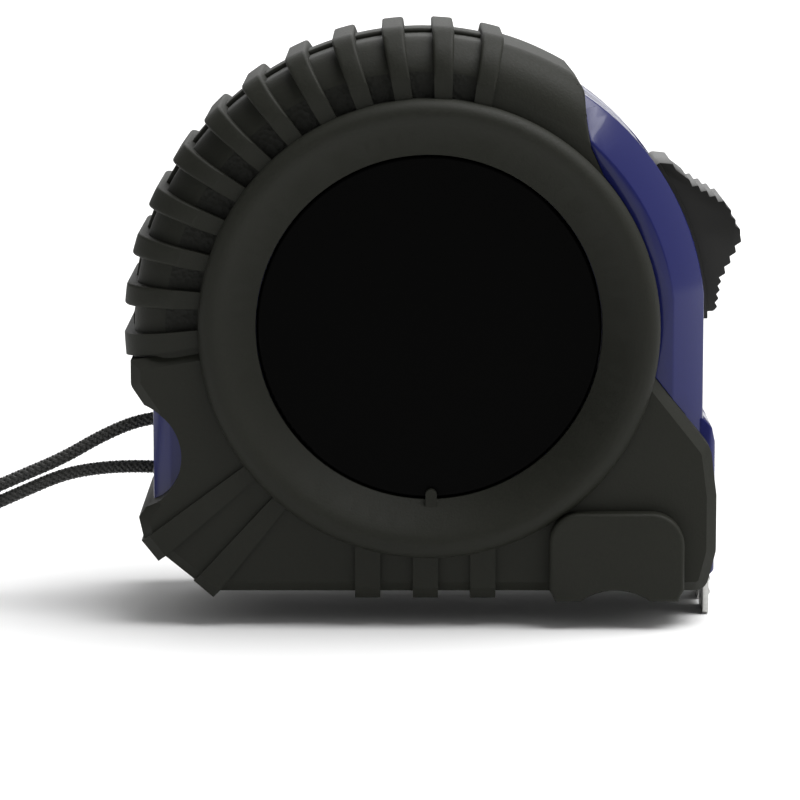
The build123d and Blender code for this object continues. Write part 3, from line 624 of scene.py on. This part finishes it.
ink = {"scale_ink": (0.012, 0.012, 0.012), "red_scale_ink": (0.62, 0.10, 0.02)}
figures = {"black_figures": ("scale_ink", 0.0046, 0.0024, ("1", "2", "3", "4", "5")),
           "red_figures": ("red_scale_ink", 0.0026, -0.0034, ("10", "20", "30", "40", "50"))}
camber_radius = 0.022083
top_radius = camber_radius - blade_thick
figure_step, figure_aside = 0.01, 0.0028
ink_spread, ink_thick, film_gap = 0.00008, 0.00002, 0.00003
for name, (paint, tall, middle_y, labels) in figures.items():
    ink_paint = new_material(paint, ink[paint], 0.5)[0]
    darker_ink = [0.8 * part for part in ink[paint]]
    speckled(ink_paint, darker_ink, ink[paint], 300, 6000, (0.4, 0.55), 0.000002)
    printed_labels = []
    for number, label in enumerate(labels):
        bpy.ops.object.select_all(action="DESELECT")
        bpy.ops.object.text_add(location=(0, 0, 0))
        label_text = bpy.context.object
        label_text.data.body = label
        label_text.data.size = tall
        label_text.data.align_x = "CENTER"
        label_text.data.align_y = "CENTER"
        label_text.data.offset = ink_spread
        bpy.ops.object.convert(target="MESH")
        label_text.rotation_euler = (0, 0, math.pi)
        label_text.location = (zero_x - figure_step * (number + 1) + figure_aside, middle_y, 0)
        bpy.ops.object.transform_apply(location=True, rotation=True)
        printed_labels.append(label_text)
    bpy.ops.object.select_all(action="DESELECT")
    for label_text in printed_labels:
        label_text.select_set(True)
    bpy.context.view_layer.objects.active = printed_labels[0]
    bpy.ops.object.join()
    figure_row = bpy.context.object
    figure_row.name = name
    bpy.ops.object.mode_set(mode="EDIT")
    bpy.ops.mesh.select_all(action="SELECT")
    bpy.ops.mesh.remove_doubles(threshold=0.000001)
    bpy.ops.mesh.quads_convert_to_tris()
    bpy.ops.object.mode_set(mode="OBJECT")
    for vertex in figure_row.data.vertices:
        rise = top_radius - math.sqrt(top_radius ** 2 - vertex.co.y ** 2)
        vertex.co.z = blade_base + blade_thick + rise + film_gap
    figure_row.data.materials.append(ink_paint)
    film = figure_row.modifiers.new("film", "SOLIDIFY")
    film.thickness, film.offset = ink_thick, -1
    bpy.ops.object.modifier_apply(modifier="film")
    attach(figure_row, "blade")

# --- End hook -----------------------------------------------------------------------------
# Nickel-plated sheet steel: a rounded tongue on top of the blade, bent down into a ribbed lip,
# and held by two hollow rivets in slots that let it move by its own thickness.
plated_hook = soft_edged("end_hook", "plated_hook", 0.00010, 40.0)
nickel_plate = metal("nickel_plate", (0.40, 0.40, 0.385), (0.62, 0.62, 0.60),
                     (0.26, 0.46), (1, 6, 1))
plated_hook.data.materials.append(nickel_plate)
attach(plated_hook, "hook")
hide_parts("end_hook")
rivet_metal = metal("rivet_metal", (0.35, 0.35, 0.34), (0.7, 0.7, 0.69), (0.25, 0.45), (1, 1, 1))
nodes["hook_rivets"].material_slots[0].material = rivet_metal

# --- Belt clip and screws -----------------------------------------------------------------
# A bent strip of plated spring steel on the far side, held by a cross-slotted screw that goes
# into the arbor.  Four more screws close the shells under the rubber.
clip_steel = metal("clip_steel", (0.22, 0.22, 0.23), (0.40, 0.40, 0.41),
                   (0.32, 0.48), (12, 1, 1))
sprung_clip = soft_edged("belt_clip", "sprung_clip", 0.00015)
sprung_clip.data.materials.append(clip_steel)
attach(sprung_clip, "case")
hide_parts("belt_clip")
screw_zinc = metal("screw_zinc", (0.42, 0.42, 0.43), (0.66, 0.66, 0.66),
                   (0.25, 0.4), (1, 1, 1))
for node in ("belt_clip_screw", "case_screws", "arbor_screw", "strap_pin"):
    nodes[node].material_slots[0].material = screw_zinc

# --- Reel and arbor -----------------------------------------------------------------------
# The arbor is fixed to the shells.  The moulded reel turns on it, with the blue-black return
# spring inside and the blade wound round the outside.
reel_plastic = new_material("reel_plastic", (0.3, 0.3, 0.29), 0.5)[0]
speckled(reel_plastic, (0.26, 0.26, 0.25), (0.33, 0.33, 0.32), 100, 4500, (0.4, 0.55), 0.00001)
for node in ("spool", "spool_cover"):
    nodes[node].material_slots[0].material = reel_plastic
arbor_plastic = new_material("arbor_plastic", (0.02, 0.02, 0.02), 0.5)[0]
speckled(arbor_plastic, (0.016, 0.016, 0.016), (0.026, 0.026, 0.025), 100, 4500,
         (0.4, 0.55), 0.00001)
nodes["arbor"].material_slots[0].material = arbor_plastic
blued_spring = metal("blued_spring", (0.08, 0.09, 0.13), (0.17, 0.18, 0.24),
                     (0.25, 0.4), (1, 12, 1))
nodes["return_spring"].material_slots[0].material = blued_spring

# --- Floor and lights ---------------------------------------------------------------------
# A plain pale floor level with the tip of the end hook, under soft white studio lights.
floor_height, floor_gap, floor_size = -0.0032, 0.00005, 14
bpy.ops.object.select_all(action="DESELECT")
bpy.ops.mesh.primitive_plane_add(size=floor_size, location=(0, 0, floor_height - floor_gap))
floor = bpy.context.object
floor.name = "studio_floor"
bpy.ops.object.transform_apply(location=True)
floor_paint, floor_shader = new_material("studio_floor_paint", (0.88, 0.88, 0.88), 0.9)
floor_shader.inputs["Specular IOR Level"].default_value = 0.1
floor.data.materials.append(floor_paint)

world = bpy.data.worlds.new("studio_air")
world.use_nodes = True
background = world.node_tree.nodes["Background"]
background.inputs["Color"].default_value = (1, 1, 1, 1)
background.inputs["Strength"].default_value = 0.26
bpy.context.scene.world = world
key_data = bpy.data.lights.new("overhead_key", "SUN")
key_data.energy = 3.2
key_data.angle = math.radians(50)
key = bpy.data.objects.new("overhead_key", key_data)
key.rotation_euler = (0, math.radians(20), 0)
bpy.context.scene.collection.objects.link(key)
light_aim = Vector((0, 0, 0.03))
softboxes = (("front_softbox", 1.1, 0.8, (0.60, -0.05, 0.30)),
             ("high_softbox", 0.5, 0.3, (0.25, 0.0, 0.50)),
             ("back_softbox", 5.0, 1.0, (0.0, 1.1, 0.60)))
for name, power, size, place in softboxes:
    soft_data = bpy.data.lights.new(name, "AREA")
    soft_data.energy = power
    soft_data.size = size
    softbox = bpy.data.objects.new(name, soft_data)
    softbox.location = place
    softbox.rotation_euler = (Vector(place) - light_aim).to_track_quat("Z", "Y").to_euler()
    bpy.context.scene.collection.objects.link(softbox)
bpy.context.scene.view_settings.view_transform = "Standard"
